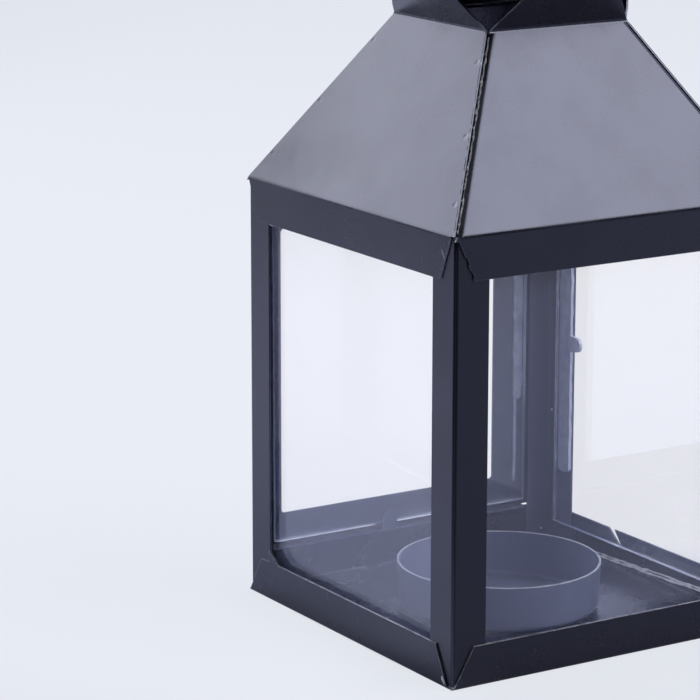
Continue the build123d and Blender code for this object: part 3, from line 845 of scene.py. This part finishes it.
for corner, signs in CORNER_SIGNS.items():
    corner_fill(f"solder_{corner}", *signs)


# Camera at the photograph's place. Its distances are in base widths from the foot of the axis.
CAMERA_AZIMUTH = math.radians(-32.0946)
CAMERA_ELEVATION = math.radians(13.3192)
CAMERA_ROLL = math.radians(0.0707)
CAMERA_DISTANCE = 8.77698
CAMERA_ACROSS = -0.411466
CAMERA_UP = 0.695930
CLIP_START = 0.01
CLIP_END = 50.0
FOCAL_PIXELS = 3245.2
IMAGE_PIXELS = 700.0
SENSOR = 36.0


def look_axes(azimuth, elevation, roll):
    back = Vector((
        math.sin(azimuth) * math.cos(elevation),
        -math.cos(azimuth) * math.cos(elevation),
        math.sin(elevation),
    ))
    level = Vector((math.cos(azimuth), math.sin(azimuth), 0.0))
    rise = back.cross(level)
    right = math.cos(roll) * level + math.sin(roll) * rise
    up = -math.sin(roll) * level + math.cos(roll) * rise
    return right, up, back


def add_camera():
    right, up, back = look_axes(CAMERA_AZIMUTH, CAMERA_ELEVATION, CAMERA_ROLL)
    place = BASE_WIDTH * (CAMERA_DISTANCE * back + CAMERA_ACROSS * right + CAMERA_UP * up)
    place += Vector((0.0, AXIS_Y, 0.0))
    data = bpy.data.cameras.new("camera")
    data.sensor_width = SENSOR
    data.lens = SENSOR * FOCAL_PIXELS / IMAGE_PIXELS
    data.clip_start = CLIP_START
    data.clip_end = CLIP_END
    camera = add_object("camera", data)
    camera.matrix_world = Matrix((
        (right.x, up.x, back.x, place.x),
        (right.y, up.y, back.y, place.y),
        (right.z, up.z, back.z, place.z),
        (0.0, 0.0, 0.0, 1.0),
    ))
    bpy.context.scene.camera = camera


add_camera()

# Pale floor. Seen directly it is an even pale blue that keeps part of the shadow. Its own tone differs
# by place, and the black paint reflects that. Edges and sizes are in metres.
BACKDROP = (0.805, 0.832, 0.888)
BEHIND_GLASS = (1.0, 1.0, 1.0)
FLOOR_LEFT = (0.84, 0.86, 1.0)
FLOOR_FAR = (0.40, 0.41, 0.52)
FLOOR_RIGHT = (0.33, 0.335, 0.405)
FLOOR_FRONT = (0.055, 0.056, 0.072)
EVEN_SHARE = 0.90
TOWARDS_BACK = (0.531, 0.847, 0.0)
TOWARDS_LEFT = (-0.707, 0.707, 0.0)
TOWARDS_FRONT = (-0.847, -0.531, 0.0)
LEFT_EDGE = (-0.02, 0.03)
FAR_EDGE = (0.30, 0.50)
FRONT_EDGE = (0.06, 0.17)
BACK_EDGE = (-0.03, 0.05)
NO_REFLECTION = 0.5
FLOOR_HALF = 3.0
FLOOR_DROP = 0.02 * MM


def floor_material():
    mat, tree, bsdf = new_material("floor")
    tree.nodes.remove(bsdf)
    coords = texture_coords(tree, "Object")
    leftward = dot(tree, coords, TOWARDS_LEFT)
    sides = mix_colour(tree, ramp(tree, leftward, *LEFT_EDGE), FLOOR_RIGHT, FLOOR_LEFT)
    sides = mix_colour(tree, ramp(tree, leftward, *FAR_EDGE), sides, FLOOR_FAR)
    near = ramp(tree, dot(tree, coords, TOWARDS_FRONT), *FRONT_EDGE)
    matte = node(tree, "ShaderNodeBsdfDiffuse")
    tree.links.new(mix_colour(tree, near, sides, FLOOR_FRONT), matte.inputs["Color"])
    even = node(tree, "ShaderNodeEmission", Color=(*BACKDROP, 1.0), Strength=1.0)
    beyond = node(tree, "ShaderNodeEmission", Color=(*BEHIND_GLASS, 1.0), Strength=1.0)

    path = node(tree, "ShaderNodeLightPath").outputs
    direct = product(tree, path["Is Camera Ray"], EVEN_SHARE)
    seen = mix_shader(tree, direct, matte.outputs["BSDF"], even.outputs["Emission"])
    straight = math_node(tree, "LESS_THAN", path["Glossy Depth"], NO_REFLECTION)
    behind = product(tree, ramp(tree, dot(tree, coords, TOWARDS_BACK), *BACK_EDGE), straight)
    through = product(tree, path["Is Transmission Ray"], behind)
    mixed = mix_shader(tree, through, seen, beyond.outputs["Emission"])
    tree.links.new(mixed, tree.nodes["Material Output"].inputs["Surface"])
    return mat


def add_floor():
    mesh = bpy.data.meshes.new("floor")
    corners = []
    for x, y in ((-1.0, -1.0), (1.0, -1.0), (1.0, 1.0), (-1.0, 1.0)):
        corners.append((x * FLOOR_HALF, y * FLOOR_HALF, -FLOOR_DROP))
    mesh.from_pydata(corners, [], [tuple(range(len(corners)))])
    mesh.materials.append(floor_material())
    return add_object("floor", mesh)


floor = add_floor()

# The room: a pale wall behind the lantern, dimmer on the camera's side. Seen directly it has the
# floor's even colour.
WALL = (0.62, 0.68, 1.0)
ROOM = (0.045, 0.047, 0.065)
WALL_EDGE = (-0.2, 0.6)


def add_room():
    world = bpy.data.worlds.new("world")
    bpy.context.scene.world = world
    world.use_nodes = True
    tree = world.node_tree
    backward = dot(tree, texture_coords(tree, "Generated"), TOWARDS_BACK)
    wall = mix_colour(tree, ramp(tree, backward, *WALL_EDGE), ROOM, WALL)
    direct = node(tree, "ShaderNodeLightPath").outputs["Is Camera Ray"]
    tree.links.new(mix_colour(tree, direct, wall, BACKDROP), tree.nodes["Background"].inputs["Color"])


add_room()

# Soft boxes, aimed at one point on the lantern's axis. Sizes and distances are in metres.
LAMP_TINT = (1.0, 1.0, 0.98)
LAMP_TARGET = Vector(row_point(0.0, 0.0, 90.0))


def softbox(name, direction, distance, width, height, radiance):
    data = bpy.data.lights.new(name, "AREA")
    data.shape = "RECTANGLE"
    data.size = width
    data.size_y = height
    data.energy = radiance * math.pi * width * height
    data.color = LAMP_TINT
    lamp = add_object(name, data)
    way = Vector(direction).normalized()
    lamp.location = LAMP_TARGET + distance * way
    lamp.rotation_euler = (-way).to_track_quat("-Z", "Y").to_euler()
    lamp.visible_camera = False


softbox("softbox_right", (0.51, -0.56, 0.65), distance=0.9, width=0.75, height=0.75, radiance=5.6)
softbox("softbox_back", (-0.43, 0.83, 0.40), distance=0.9, width=0.80, height=0.65, radiance=2.85)
softbox("softbox_top", (0.0, 0.1, 1.0), distance=1.0, width=0.6, height=0.6, radiance=1.2)

bpy.context.scene.view_settings.view_transform = "Standard"
